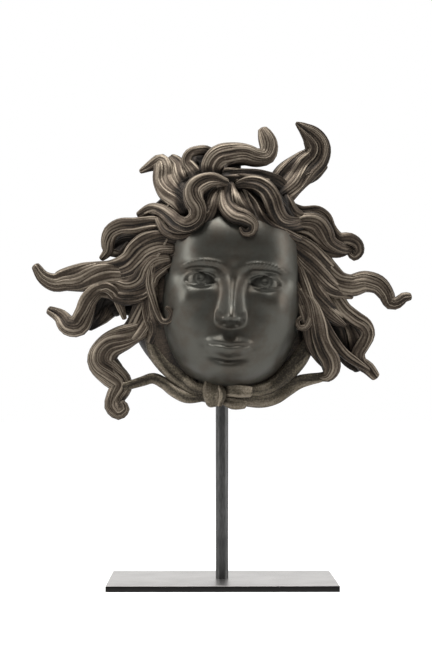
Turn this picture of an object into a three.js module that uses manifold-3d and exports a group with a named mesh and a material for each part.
// A bronze mask of a wild-haired head on its display stand: a hollow cast mask, a round steel rod and a flat
// steel foot. Millimetres, +Z up, the mask looks along -Y. The origin is the middle of the foot's underside.
import * as THREE from "three";
import { mergeVertices } from "three/addons/utils/BufferGeometryUtils.js";
import Module from "manifold-3d";

const wasm = await Module();
wasm.setup();

// Driving dimensions
const GAP = 0.3;
const FOOT = { wide: 228, deep: 120, thick: 6 };
const ROD = { radius: 6.35, sides: 16, bend: 24, bendSteps: 6, armHeight: 326 };
const BOSS = { radius: 14, from: 60, to: 120, sides: 20, overlap: 2 };
const WALL = 6;
const RIM = ROD.radius + GAP;
const FACE = { x: 9, z: 290, tilt: 3.5, halfWide: 77, edge: 10, columns: 17, insideColumns: 9, crowd: 1.15 };
const HEAD = { x: 3, z: 304, halfWide: 103, halfHigh: 114, deep: 44, rings: 9, spokes: 9 };
// The solids that hollow the mask out start this far behind the rod
const HOLLOW_BACK = -20;
// Corners that lie closer than this are one corner
const SAME_CORNER = 1e-4;

// The locks are laid out as a viewer 1.46 m in front of the rod sees them, on a plane 30 mm before it
const VIEW = { x: -17.3, z: 193.4, away: 1460, plane: 30 };

// A lock's cross-section, in half widths: two rounded ridges with a groove between, and a low keel behind
const SECTION = [[-1, 0], [-0.52, 0.62], [0, 0.4], [0.52, 0.62], [1, 0], [0, -0.55]];
// A narrow lock has a plain round back, and a thin strand a single ridge
const NARROW = { widest: 20, section: [[-1, 0], [-0.45, 0.62], [0.45, 0.62], [1, 0], [0, -0.55]] };
const THIN = { widest: 14, section: [[-1, 0], [0, 0.66], [1, 0], [0, -0.55]] };
// A lock starts this far before its first ring and ends this far past its last, in widths
const ROOT_REACH = 0.3;
const TIP_REACH = 0.5;

// Heights on the face, from its centre: thirds from hairline to chin, as drawing books set them out
const CHIN = -88;
const THIRD = 56.7;
const NOSE_BASE = CHIN + THIRD;
const BROW = NOSE_BASE + THIRD;
const MOUTH = NOSE_BASE - THIRD / 3;
const EYE = { across: 31.5, high: BROW - 13, ball: 15.5, proud: 4.4, lid: 1.9, reach: 18 };
// The height where the face is widest, and how far it reaches below and above
const WIDEST = { high: 5, down: 101, up: 124 };

const bump = (at, middle, spread) => Math.exp(-(((at - middle) / spread) ** 2));
const swell = (at, middle, spread, power) => Math.exp(-(Math.abs((at - middle) / spread) ** power));
const root = (value) => Math.sqrt(Math.max(0, value));
const smooth = (low, high, at) => {
  const t = Math.min(1, Math.max(0, (at - low) / (high - low)));
  return t * t * (3 - 2 * t);
};

// A smooth line through [position, value] pairs, level at both ends
function curveThrough(pairs) {
  const last = pairs.length - 1;
  const slope = pairs.map((pair, i) => {
    if (i === 0 || i === last) return 0;
    return (pairs[i + 1][1] - pairs[i - 1][1]) / (pairs[i + 1][0] - pairs[i - 1][0]);
  });
  return (at) => {
    if (at <= pairs[0][0]) return pairs[0][1];
    const i = pairs.findIndex(([position]) => at <= position);
    if (i < 0) return pairs[last][1];
    const [a, va] = pairs[i - 1];
    const [b, vb] = pairs[i];
    const t = (at - a) / (b - a);
    const lean = (b - a) * (slope[i - 1] * t * (1 - t) ** 2 - slope[i] * t * t * (1 - t));
    return va + (vb - va) * t * t * (3 - 2 * t) + lean;
  };
}

function faceHalfWidth(v) {
  const [reach, power] = v < WIDEST.high ? [WIDEST.down, 2.3] : [WIDEST.up, 2.6];
  return FACE.halfWide * root(1 - (Math.abs(v - WIDEST.high) / reach) ** power);
}

// How far the middle of the face, and the nose on it, stand out at each height
const middleDepth = curveThrough([
  [CHIN - 8, 26], [CHIN - 2, 50], [CHIN + 6, 65], [CHIN + 16, 73], [CHIN + 26, 76], [MOUTH, 79],
  [NOSE_BASE, 80.5], [-12, 79.5], [EYE.high, 80], [BROW, 82.5], [48, 84.5], [66, 80], [82, 69], [100, 52],
  [124, 25],
]);
const noseHeight = curveThrough([
  [NOSE_BASE - 4, 0], [NOSE_BASE - 0.5, 6.5], [NOSE_BASE + 4, 19], [NOSE_BASE + 9, 21.5], [-12, 17.8],
  [2, 11.5], [EYE.high + 1, 6.4], [BROW - 2, 4.2], [BROW + 12, 0],
]);
const noseHalfWidth = curveThrough([
  [NOSE_BASE, 10.5], [NOSE_BASE + 7, 10], [NOSE_BASE + 15, 8.8], [-8, 8.2], [8, 7.8], [BROW, 10.5],
  [BROW + 14, 15],
]);

// The bare face: forehead, sockets, cheeks and jaw
function faceForm(side, v) {
  const out = Math.min(1, side / Math.max(faceHalfWidth(v), 1));
  const roundness = 1.95 + 0.5 * smooth(-75, -15, v);
  const arch = BROW + 2.5 - 0.01 * (side - 30) ** 2;
  let d = FACE.edge + (middleDepth(v) - FACE.edge) * root(1 - out ** roundness);
  d += 3.4 * bump(v, arch, 6.5) * smooth(4, 16, side) * (1 - smooth(44, 62, side));
  d -= 5 * bump(side, 16, 7) * bump(v, EYE.high + 2, 10);
  d -= 7.5 * bump(side, EYE.across + 3, 17) * bump(v, EYE.high + 2.5, 10);
  d += 4.8 * bump(side, 45, 15) * bump(v, -7, 15);
  d -= 1.6 * bump(side, 29, 11) * bump(v, -16, 17);
  d -= 1.8 * bump(side, 46, 14) * bump(v, -40, 18);
  return d - 2.4 * bump(side, 64, 12) * bump(v, 38, 20);
}

// The lidded eyeball, where it stands out of its socket
function eyeDepth(side, v, socket) {
  const e = side - EYE.across;
  const away = Math.hypot(e, v - EYE.high);
  if (away > EYE.reach) return socket;
  const ball = faceForm(EYE.across, EYE.high) + EYE.proud - away ** 2 / (2 * EYE.ball) - 0.1 * e;
  return Math.max(socket, ball + EYE.lid);
}

function noseDepth(side, v) {
  const up = v - 0.015 * side ** 2;
  const tip = 2.2 * bump(side, 0, 5.5) * bump(up, NOSE_BASE + 7, 5.5);
  const wings = 5.2 * swell(side, 9.8, 4.2, 3) * swell(up, NOSE_BASE + 4.8, 4.8, 2.4);
  return noseHeight(up) * swell(side, 0, noseHalfWidth(up), 2.3) + tip + wings;
}

function lipsDepth(side, v) {
  const line = MOUTH + 0.003 * side ** 2 - 0.6;
  const taper = root(1 - (side / 23.5) ** 2);
  const upper = 4.8 * swell(v, line + 3.4 * taper, 4.6 * taper + 0.6, 2.6) * taper;
  const inner = Math.max(0, 1 - (side / 22) ** 2);
  const lower = 6.2 * swell(v, line - 4.6 * taper, 5.2 * taper + 0.6, 2.2) * inner;
  const parting = 2 * bump(v, line, 1.5) * (1 - smooth(15, 24, side));
  const mound = 1.5 * bump(v, MOUTH, 16) * bump(side, 0, 24);
  const corners = 1.3 * bump(side, 24.5, 4) * bump(v, MOUTH - 0.5, 4);
  return upper + lower - parting + mound - corners;
}

function faceDepth(u, v) {
  const side = Math.abs(u);
  let d = eyeDepth(side, v, faceForm(side, v));
  d -= 0.9 * bump(side, 27 - 0.35 * (v - NOSE_BASE), 7) * bump(v, NOSE_BASE - 6, 12);
  d += noseDepth(side, v) + lipsDepth(side, v);
  d -= 3.2 * bump(v, MOUTH - 14 + 0.008 * side ** 2, 5) * bump(side, 0, 17);
  d += 6.5 * bump(v, CHIN + 15, 10.5) * bump(side, 0, 18);
  return Math.max(d, FACE.edge);
}

// Solids: vertices as [x, y, z] and faces as triples, turned into a manifold
function solid(points, faces) {
  const geometry = new THREE.BufferGeometry();
  geometry.setAttribute("position", new THREE.Float32BufferAttribute(points.flat(), 3));
  geometry.setIndex(faces.flat());
  return solidFrom(geometry);
}

function solidFrom(geometry) {
  geometry.deleteAttribute("normal");
  geometry.deleteAttribute("uv");
  const merged = mergeVertices(geometry, SAME_CORNER);
  const vertProperties = merged.attributes.position.array;
  const triVerts = new Uint32Array(merged.index.array);
  return new wasm.Manifold(new wasm.Mesh({ numProp: 3, vertProperties, triVerts }));
}

const joined = (list) => list.slice(1).reduce((all, one) => all.add(one), list[0]);

// A dome on a flat back: rows of points whose first and last close to one point, each [x, z, depth]
function domeSolid(rows, backDepth) {
  const points = [];
  const faces = [];
  const columns = rows[0].length;
  const at = (i, j) => i * columns + j;
  for (const [x, z, depth] of rows.flat()) points.push([x, -depth, z]);
  for (let i = 0; i + 1 < rows.length; i++) {
    for (let j = 0; j + 1 < columns; j++) {
      faces.push([at(i, j), at(i, j + 1), at(i + 1, j + 1)], [at(i, j), at(i + 1, j + 1), at(i + 1, j)]);
    }
  }
  const edge = [];
  for (let j = 0; j < columns; j++) edge.push(at(0, j));
  for (let i = 1; i < rows.length; i++) edge.push(at(i, columns - 1));
  for (let j = columns - 2; j >= 0; j--) edge.push(at(rows.length - 1, j));
  for (let i = rows.length - 2; i > 0; i--) edge.push(at(i, 0));
  const back = edge.map((k) => {
    points.push([points[k][0], -backDepth, points[k][2]]);
    return points.length - 1;
  });
  const middle = points.length;
  const sum = back.reduce((s, k) => [s[0] + points[k][0], s[1] + points[k][2]], [0, 0]);
  points.push([sum[0] / back.length, -backDepth, sum[1] / back.length]);
  edge.forEach((k, i) => {
    const next = (i + 1) % edge.length;
    faces.push([k, back[i], back[next]], [k, back[next], edge[next]], [back[i], middle, back[next]]);
  });
  return solid(points, faces);
}

// Rows from the chin up, with columns set closer together beside the nose
function faceRows(heights, columns, inset, depthAt) {
  const turn = THREE.MathUtils.degToRad(FACE.tilt);
  const shrink = 1 - inset / FACE.halfWide;
  return heights.map((v) => {
    const row = [];
    for (let j = 0; j < columns; j++) {
      const s = (2 * j) / (columns - 1) - 1;
      const u = Math.sign(s) * Math.abs(s) ** FACE.crowd * faceHalfWidth(v) * shrink;
      const x = FACE.x + u * Math.cos(turn) + v * Math.sin(turn);
      const z = FACE.z + v * Math.cos(turn) - u * Math.sin(turn);
      row.push([x, z, Math.max(depthAt(u, v), RIM + 1)]);
    }
    return row;
  });
}

// Rows of the rounded mass behind the hair, or of its inside with an inset and a wall
function headRows(inset, wall) {
  const rows = [];
  for (let i = 0; i <= HEAD.rings; i++) {
    const height = Math.cos((Math.PI * i) / HEAD.rings);
    const half = Math.sin((Math.PI * i) / HEAD.rings);
    const row = [];
    for (let j = 0; j <= HEAD.spokes; j++) {
      const across = -Math.cos((Math.PI * j) / HEAD.spokes) * half;
      const x = HEAD.x + across * (HEAD.halfWide - inset);
      const z = HEAD.z - height * (HEAD.halfHigh - inset);
      const dome = Math.max(0, 1 - Math.hypot(across, height) ** 3) ** (1 / 2.2);
      row.push([x, z, Math.max(RIM + HEAD.deep * dome - wall, RIM + 1)]);
    }
    rows.push(row);
  }
  return rows;
}

// The place, at this depth, of a point laid out at x and z on the viewer's plane
function seenAt(x, z, depth) {
  const nearer = (VIEW.away - depth) / (VIEW.away - VIEW.plane);
  return new THREE.Vector3(VIEW.x + (x - VIEW.x) * nearer, -depth, VIEW.z + (z - VIEW.z) * nearer);
}

function sectionFor(width) {
  if (width > NARROW.widest) return SECTION;
  return width > THIN.widest ? NARROW.section : THIN.section;
}

// A lock: points [x, z, width] from root to tip, and its depth at the root, the middle and the tip
function lockSolid({ path, deep, thick = 1 }) {
  const count = path.length - 1;
  const depthAt = (t) => {
    const [root, middle, tip] = deep;
    return root + (middle - root) * smooth(0, 0.5, t) + (tip - middle) * smooth(0.5, 1, t);
  };
  const line = new THREE.CatmullRomCurve3(
    path.map(([x, z], i) => seenAt(x, z, depthAt(i / count))),
    false,
    "centripetal",
  );
  const widths = path.map((point) => point[2]);
  const section = sectionFor(Math.max(...widths));
  const facing = new THREE.Vector3(0, -1, 0);
  const points = [];
  const faces = [];
  for (let i = 0; i <= count; i++) {
    const t = i / count;
    const centre = line.getPoint(t);
    const along = line.getTangent(t);
    const across = new THREE.Vector3().crossVectors(along, facing).normalize();
    const out = new THREE.Vector3().crossVectors(across, along).normalize();
    const half = widths[i] / 2;
    for (const [side, high] of section) {
      const p = centre.clone().addScaledVector(across, half * side);
      p.addScaledVector(out, half * thick * high);
      points.push(p.toArray());
    }
  }
  const sides = section.length;
  const ring = (i, k) => i * sides + (k % sides);
  for (let i = 0; i < count; i++) {
    for (let k = 0; k < sides; k++) {
      faces.push([ring(i, k), ring(i, k + 1), ring(i + 1, k + 1)]);
      faces.push([ring(i, k), ring(i + 1, k + 1), ring(i + 1, k)]);
    }
  }
  const root = line.getPoint(0).addScaledVector(line.getTangent(0), -ROOT_REACH * widths[0]);
  const tip = line.getPoint(1).addScaledVector(line.getTangent(1), TIP_REACH * widths[count]);
  points.push(root.toArray(), tip.toArray());
  const [rootAt, tipAt] = [points.length - 2, points.length - 1];
  for (let k = 0; k < sides; k++) {
    faces.push([rootAt, ring(0, k + 1), ring(0, k)], [tipAt, ring(count, k), ring(count, k + 1)]);
  }
  return solid(points, faces);
}

// The hair, lock by lock. Each point is [across from the rod, above the floor, width of the lock there].
const LOCKS = {
  leftLong: {
    path: [
      [-104, 314, 25], [-122, 311, 29], [-140, 309, 30], [-156, 307, 24], [-168, 304, 19],
      [-179, 309, 14], [-187, 320, 9],
    ],
    deep: [36, 26, 34],
  },
  leftSecond: {
    path: [
      [-110, 294, 14], [-124, 296, 16], [-134, 286, 18], [-138, 273, 20], [-144, 261, 23],
      [-154, 261, 21], [-162, 270, 15], [-173, 276, 9],
    ],
    deep: [38, 34, 22],
  },
  leftSecondRim: {
    path: [[-132, 284, 7], [-126, 296, 9], [-116, 299, 11], [-107, 292, 11], [-102, 280, 9], [-98, 268, 5]],
    deep: [36, 42, 34],
  },
  leftSecondInside: {
    path: [[-88, 281, 22], [-102, 286, 32], [-114, 283, 32], [-125, 271, 25], [-134, 260, 12]],
    deep: [22, 15, 17],
  },
  leftCaveFloor: {
    path: [[-66, 343, 26], [-84, 344, 28], [-100, 342, 22], [-110, 336, 10]],
    deep: [30, 22, 20],
  },
  leftThird: {
    path: [
      [-80, 257, 18], [-98, 249, 26], [-114, 239, 27], [-120, 226, 31], [-111, 213, 28], [-101, 202, 23],
      [-106, 190, 20], [-109, 180, 18], [-103, 173, 13], [-97, 178, 10], [-100, 184, 6],
    ],
    deep: [32, 24, 36],
  },
  leftUnderA: {
    path: [[-72, 288, 12], [-73, 274, 13], [-79, 260, 14], [-90, 249, 14], [-104, 241, 12]],
    deep: [42, 36, 30],
  },
  leftUnderB: {
    path: [[-82, 286, 12], [-86, 273, 12], [-92, 260, 13], [-102, 250, 12], [-112, 243, 10]],
    deep: [40, 32, 28],
  },
  leftWaveA: {
    path: [
      [-46, 348, 8], [-62, 350, 13], [-79, 347, 14], [-89, 339, 13], [-96, 329, 12], [-108, 323, 10],
      [-126, 322, 4],
    ],
    deep: [58, 48, 38],
  },
  leftWaveB: {
    path: [
      [-50, 338, 10], [-64, 339, 16], [-76, 334, 17], [-84, 325, 17], [-93, 317, 16], [-108, 313, 13],
      [-130, 312, 4],
    ],
    deep: [56, 46, 34],
  },
  leftWaveC: {
    path: [
      [-54, 328, 10], [-68, 325, 16], [-78, 316, 17], [-84, 307, 17], [-95, 301, 16], [-112, 303, 12],
      [-132, 305, 4],
    ],
    deep: [54, 44, 34],
  },
  leftWaveD: {
    path: [
      [-58, 318, 10], [-69, 311, 15], [-75, 299, 17], [-86, 291, 17], [-100, 289, 16], [-114, 294, 11],
      [-132, 299, 4],
    ],
    deep: [52, 43, 36],
  },
  leftTemple: {
    path: [
      [-60, 336, 6], [-69, 320, 9], [-72, 304, 10], [-70, 289, 9], [-66, 275, 8], [-60, 265, 7],
      [-53, 266, 7], [-51, 274, 6], [-56, 279, 4],
    ],
    deep: [52, 47, 61],
  },
  leftBehindTemple: {
    path: [[-70, 302, 12], [-73, 286, 16], [-71, 270, 17], [-68, 256, 13], [-72, 244, 8]],
    deep: [46, 40, 32],
  },
  leftShoulder: {
    path: [
      [-56, 365, 12], [-72, 364, 14], [-88, 361, 17], [-103, 360, 17], [-112, 354, 16], [-115, 344, 14],
      [-115, 335, 11], [-121, 328, 6],
    ],
    deep: [52, 40, 34],
  },
  leftShoulderInside: { path: [[-112, 334, 8], [-102, 333, 8], [-94, 342, 8]], deep: [33, 34, 38] },
  browSweep: {
    path: [
      [4, 405, 8], [-8, 408, 14], [-19, 405, 19], [-28, 398, 21], [-29, 388, 20], [-25, 378, 18],
      [-26, 369, 17], [-35, 362, 16], [-45, 364, 16], [-53, 371, 15], [-62, 377, 13], [-73, 378, 11],
      [-84, 372, 7],
    ],
    deep: [74, 80, 44],
  },
  browSweepUnder: {
    path: [[-20, 366, 8], [-30, 355, 10], [-45, 352, 11], [-57, 357, 11], [-63, 368, 10]],
    deep: [74, 66, 54],
  },
  forelock: {
    path: [
      [5, 403, 8], [2, 392, 14], [4, 381, 17], [12, 373, 18], [23, 369, 16], [31, 362, 12], [29, 355, 10],
      [22, 354, 8], [19, 359, 5],
    ],
    deep: [68, 84, 84],
  },
  rightArch: {
    path: [
      [16, 402, 8], [24, 404, 14], [34, 404, 16], [44, 398, 18], [50, 388, 19], [54, 376, 18],
      [60, 367, 17], [70, 363, 15], [82, 363, 13], [94, 364, 10],
    ],
    deep: [64, 74, 44],
  },
  rightScrollRim: {
    path: [
      [66, 383, 8], [80, 377, 9], [96, 377, 9], [105, 370, 10], [109, 359, 11], [117, 349, 12],
      [128, 348, 13], [136, 343, 11], [138, 335, 9], [132, 329, 7], [127, 333, 4],
    ],
    deep: [42, 36, 34],
  },
  rightScroll: {
    path: [
      [70, 362, 10], [84, 366, 19], [95, 363, 21], [102, 354, 21], [109, 344, 14], [120, 339, 12],
      [129, 337, 11], [133, 332, 8],
    ],
    deep: [50, 44, 28],
  },
  rightScrollUnder: {
    path: [[70, 354, 10], [84, 352, 18], [96, 344, 19], [107, 337, 15], [118, 334, 10], [127, 336, 6]],
    deep: [48, 40, 32],
  },
  rightLong: {
    path: [
      [102, 330, 12], [108, 318, 17], [117, 305, 22], [129, 301, 23], [143, 305, 22], [156, 302, 20],
      [164, 293, 17], [169, 283, 13], [176, 284, 12], [182, 289, 11], [188, 290, 8],
    ],
    deep: [38, 28, 36],
  },
  rightLongUnder: {
    path: [[88, 326, 12], [99, 315, 16], [110, 303, 15], [123, 295, 12], [136, 296, 7]],
    deep: [46, 37, 30],
  },
  rightThird: {
    path: [
      [104, 302, 10], [114, 290, 15], [122, 277, 16], [133, 268, 16], [143, 261, 15], [146, 252, 14],
      [141, 242, 14], [136, 233, 14], [138, 224, 14], [146, 218, 14], [153, 210, 10],
    ],
    deep: [34, 28, 22],
  },
  rightThirdInside: {
    path: [[95, 292, 14], [104, 279, 18], [114, 269, 18], [124, 262, 10]],
    deep: [40, 30, 20],
  },
  rightThirdFloor: {
    path: [[102, 270, 22], [116, 257, 32], [127, 243, 36], [130, 229, 26], [136, 218, 12]],
    deep: [18, 12, 14],
  },
  rightThirdRidge: {
    path: [[92, 280, 8], [101, 264, 11], [110, 248, 11], [121, 234, 10], [134, 224, 9], [146, 216, 5]],
    deep: [40, 32, 26],
  },
  rightFall: {
    path: [
      [80, 296, 10], [90, 278, 16], [96, 261, 18], [98, 247, 18], [102, 236, 19], [108, 226, 20],
      [109, 217, 18], [104, 210, 13], [99, 210, 7],
    ],
    deep: [48, 39, 30],
  },
  rightFallInside: {
    path: [
      [78, 290, 10], [84, 272, 16], [88, 256, 18], [92, 242, 18], [98, 231, 15], [104, 222, 12],
      [105, 214, 8],
    ],
    deep: [46, 36, 24],
  },
  rightTemple: {
    path: [
      [76, 320, 6], [82, 305, 9], [86, 291, 10], [89, 278, 9], [88, 267, 8], [83, 259, 7], [77, 259, 6],
      [75, 265, 5], [79, 269, 4],
    ],
    deep: [50, 47, 48],
  },
  rightWaveA: {
    path: [[66, 352, 9], [80, 343, 16], [93, 332, 18], [105, 322, 16], [118, 312, 7]],
    deep: [54, 45, 34],
  },
  rightWaveB: {
    path: [[70, 340, 10], [84, 325, 19], [98, 309, 22], [112, 297, 18], [130, 290, 6]],
    deep: [52, 43, 31],
  },
  rightWaveC: {
    path: [[74, 326, 9], [85, 309, 18], [95, 291, 20], [107, 275, 18], [122, 262, 8]],
    deep: [50, 42, 30],
  },
  crownLeft: {
    path: [
      [-38, 374, 12], [-44, 385, 20], [-54, 396, 23], [-59, 408, 22], [-59, 419, 21], [-62, 426, 16],
      [-71, 422, 12], [-82, 416, 5],
    ],
    deep: [60, 40, 28],
  },
  crownLeftRoot: {
    path: [[-44, 393, 12], [-54, 384, 17], [-66, 376, 14], [-80, 369, 6]],
    deep: [46, 38, 32],
  },
  crownLeftInside: {
    path: [[-32, 378, 10], [-36, 389, 16], [-40, 401, 17], [-43, 413, 17], [-45, 424, 15], [-51, 430, 9]],
    deep: [62, 46, 32],
  },
  crownCurl: {
    path: [
      [-24, 396, 14], [-25, 408, 16], [-30, 418, 14], [-36, 426, 11], [-33, 434, 10], [-25, 437, 10],
      [-16, 437, 11], [-8, 433, 9],
    ],
    deep: [52, 46, 42],
  },
  crownCurlInside: {
    path: [[-15, 408, 12], [-16, 418, 14], [-18, 427, 13], [-24, 430, 8]],
    deep: [52, 42, 34],
  },
  crownCurlFill: {
    path: [[-20, 400, 18], [-21, 412, 22], [-22, 423, 24], [-22, 432, 16]],
    deep: [42, 32, 28],
  },
  topScroll: {
    path: [
      [-9, 408, 18], [-10, 420, 24], [-3, 430, 26], [10, 433, 25], [23, 433, 22], [35, 430, 19],
      [45, 432, 17], [47, 441, 19], [44, 451, 18], [41, 458, 11],
    ],
    deep: [54, 48, 44],
  },
  topScrollBack: { path: [[0, 410, 20], [4, 420, 22], [14, 424, 16]], deep: [44, 34, 36] },
  topRidge: {
    path: [[4, 412, 16], [20, 411, 16], [38, 410, 16], [56, 405, 14], [66, 396, 10]],
    deep: [58, 56, 46],
  },
  topRidgeBack: { path: [[-6, 412, 12], [14, 411, 15], [36, 408, 16], [58, 402, 14]], deep: [40, 36, 32] },
  crownBack: { path: [[-52, 396, 26], [-36, 408, 30], [-14, 416, 26], [6, 420, 14]], deep: [30, 26, 28] },
  crownFillLeft: {
    path: [[-4, 404, 12], [-16, 396, 26], [-30, 384, 30], [-42, 370, 18]],
    deep: [58, 58, 50],
  },
  crownFillMiddle: { path: [[6, 402, 12], [9, 388, 22], [20, 374, 22], [34, 362, 12]], deep: [60, 68, 70] },
  crownFillRight: {
    path: [[10, 404, 12], [27, 397, 28], [43, 385, 34], [62, 369, 28], [78, 360, 14]],
    deep: [56, 58, 44],
  },
  partingLeft: {
    path: [[0, 402, 8], [-8, 392, 12], [-10, 380, 14], [-14, 370, 12], [-20, 362, 7]],
    deep: [66, 74, 72],
  },
  partingRight: {
    path: [[22, 396, 10], [30, 383, 14], [38, 369, 14], [50, 359, 12], [66, 353, 9], [78, 348, 6]],
    deep: [62, 72, 54],
  },
  horn: {
    path: [
      [50, 380, 24], [58, 395, 33], [68, 409, 36], [82, 420, 33], [93, 429, 29], [96, 440, 27],
      [91, 451, 23], [83, 459, 14], [75, 465, 4],
    ],
    deep: [48, 34, 42],
    thick: 0.8,
  },
  hornUnder: {
    path: [[66, 386, 9], [71, 398, 10], [81, 406, 11], [93, 412, 11], [103, 422, 8]],
    deep: [40, 30, 34],
  },
  rightCrown: { path: [[60, 392, 12], [64, 384, 17], [70, 375, 16], [82, 368, 10]], deep: [48, 52, 50] },
};

// The cloth bands that run round under the jaw and their knot below the chin
const BANDS = {
  bandLeftInner: {
    path: [[-67, 252, 24], [-61, 235, 28], [-51, 220, 24], [-40, 208, 19], [-29, 199, 14], [-14, 197, 10]],
    deep: [26, 26, 42],
    thick: 1.1,
  },
  bandLeftOuter: {
    path: [
      [-98, 200, 9], [-90, 202, 9], [-80, 205, 10], [-69, 208, 11], [-58, 203, 12], [-48, 195, 12],
      [-35, 189, 12], [-18, 190, 10],
    ],
    deep: [30, 22, 38],
    thick: 0.9,
  },
  bandRightInner: {
    path: [[86, 247, 18], [76, 228, 20], [63, 212, 18], [49, 201, 15], [35, 196, 13], [22, 196, 10]],
    deep: [26, 26, 42],
    thick: 1.1,
  },
  bandRightOuter: {
    path: [
      [107, 212, 8], [98, 209, 10], [87, 207, 12], [76, 204, 14], [65, 197, 14], [53, 189, 14],
      [39, 185, 13], [23, 186, 12], [8, 188, 12],
    ],
    deep: [30, 22, 41],
    thick: 0.9,
  },
  knotLeftTail: { path: [[-10, 204, 16], [-11, 193, 18], [-9, 183, 14]], deep: [46, 48, 44] },
  knotLoop: { path: [[4, 196, 12], [15, 196, 15], [27, 195, 12]], deep: [46, 50, 44] },
  knotRightTail: { path: [[0, 187, 9], [11, 183, 13], [22, 182, 9]], deep: [41, 43, 40] },
  knotFold: { path: [[-3, 203, 6], [0, 192, 8], [-3, 181, 5]], deep: [48, 51, 46] },
  neckRoll: {
    path: [[-46, 208, 16], [-20, 196, 22], [5, 193, 24], [30, 196, 22], [56, 206, 16]],
    deep: [18, 26, 18],
    thick: 1.3,
  },
};

// Rows up the face, closer together over the mouth, the nose and the eyes
const FACE_HEIGHTS = [
  -95.9, -93.5, -88, -81, -73, -66, -59, -55.5, -53, -50, -47.5, -43, -39, -35, -31.5, -27.5, -22, -14, -5, 3,
  9, 15, 20.5, 26, 33, 45, 60, 76, 94,
];
const INSIDE_HEIGHTS = [-85, -70, -55, -42, -28, -12, 4, 20, 38, 56, 72, 86];
const NEARBY = 8;

// The inside follows the face loosely, a wall behind the deepest place nearby
function insideDepth(u, v) {
  const steps = [[0, 0], [NEARBY, 0], [-NEARBY, 0], [0, NEARBY], [0, -NEARBY]];
  return Math.min(...steps.map(([across, up]) => faceDepth(u + across, v + up))) - WALL;
}

function hollowSolid() {
  return joined([
    domeSolid(faceRows(INSIDE_HEIGHTS, FACE.insideColumns, WALL, insideDepth), HOLLOW_BACK),
    domeSolid(headRows(WALL, WALL + 1), HOLLOW_BACK),
  ]);
}

function maskSolid(hollow) {
  const outside = [
    domeSolid(faceRows(FACE_HEIGHTS, FACE.columns, 0, faceDepth), RIM),
    domeSolid(headRows(0, 0), RIM),
    ...Object.values(LOCKS).map(lockSolid),
    ...Object.values(BANDS).map(lockSolid),
  ];
  return joined(outside).subtract(hollow);
}

// The rod stands on the foot, bends forward inside the mask and ends in a round boss against its inside
function rodSolid(hollow) {
  const points = [];
  const faces = [];
  const centres = [[0, FOOT.thick, 0]];
  for (let i = 0; i <= ROD.bendSteps; i++) {
    const turn = (Math.PI / 2) * (i / ROD.bendSteps);
    centres.push([-ROD.bend * (1 - Math.cos(turn)), ROD.armHeight - ROD.bend * (1 - Math.sin(turn)), turn]);
  }
  centres.push([-BOSS.from - BOSS.overlap, ROD.armHeight, Math.PI / 2]);
  for (const [y, z, turn] of centres) {
    for (let k = 0; k < ROD.sides; k++) {
      const angle = (2 * Math.PI * k) / ROD.sides;
      const ahead = ROD.radius * Math.sin(angle);
      points.push([ROD.radius * Math.cos(angle), y + ahead * Math.cos(turn), z + ahead * Math.sin(turn)]);
    }
  }
  const last = centres.length - 1;
  const ring = (i, k) => i * ROD.sides + (k % ROD.sides);
  for (let i = 0; i < last; i++) {
    for (let k = 0; k < ROD.sides; k++) {
      faces.push([ring(i, k), ring(i, k + 1), ring(i + 1, k + 1)]);
      faces.push([ring(i, k), ring(i + 1, k + 1), ring(i + 1, k)]);
    }
  }
  for (let k = 1; k + 1 < ROD.sides; k++) {
    faces.push([ring(0, 0), ring(0, k + 1), ring(0, k)], [ring(last, 0), ring(last, k), ring(last, k + 1)]);
  }
  const boss = new THREE.CylinderGeometry(BOSS.radius, BOSS.radius, BOSS.to - BOSS.from, BOSS.sides);
  boss.translate(0, -(BOSS.from + BOSS.to) / 2, ROD.armHeight);
  const pad = solidFrom(boss).intersect(hollow.translate([0, GAP, 0]));
  return solid(points, faces).add(pad);
}

function meshOf(manifold, name, material) {
  const { vertProperties, triVerts } = manifold.getMesh();
  const geometry = new THREE.BufferGeometry();
  geometry.setAttribute("position", new THREE.BufferAttribute(new Float32Array(vertProperties), 3));
  geometry.setIndex(new THREE.BufferAttribute(new Uint32Array(triVerts), 1));
  geometry.computeVertexNormals();
  const mesh = new THREE.Mesh(geometry, material);
  mesh.name = name;
  return mesh;
}

const bronze = new THREE.MeshStandardMaterial({ color: 0x4d463d, roughness: 0.42, metalness: 0.9 });
const steel = new THREE.MeshStandardMaterial({ color: 0x4a4a49, roughness: 0.38, metalness: 0.9 });

const hollow = hollowSolid();
const part = new THREE.Group();
part.add(meshOf(maskSolid(hollow), "mask", bronze));
part.add(meshOf(rodSolid(hollow), "support_rod", steel));

const foot = new THREE.Mesh(new THREE.BoxGeometry(FOOT.wide, FOOT.deep, FOOT.thick), steel);
foot.name = "foot_plate";
foot.position.z = FOOT.thick / 2;
part.add(foot);

export default part;
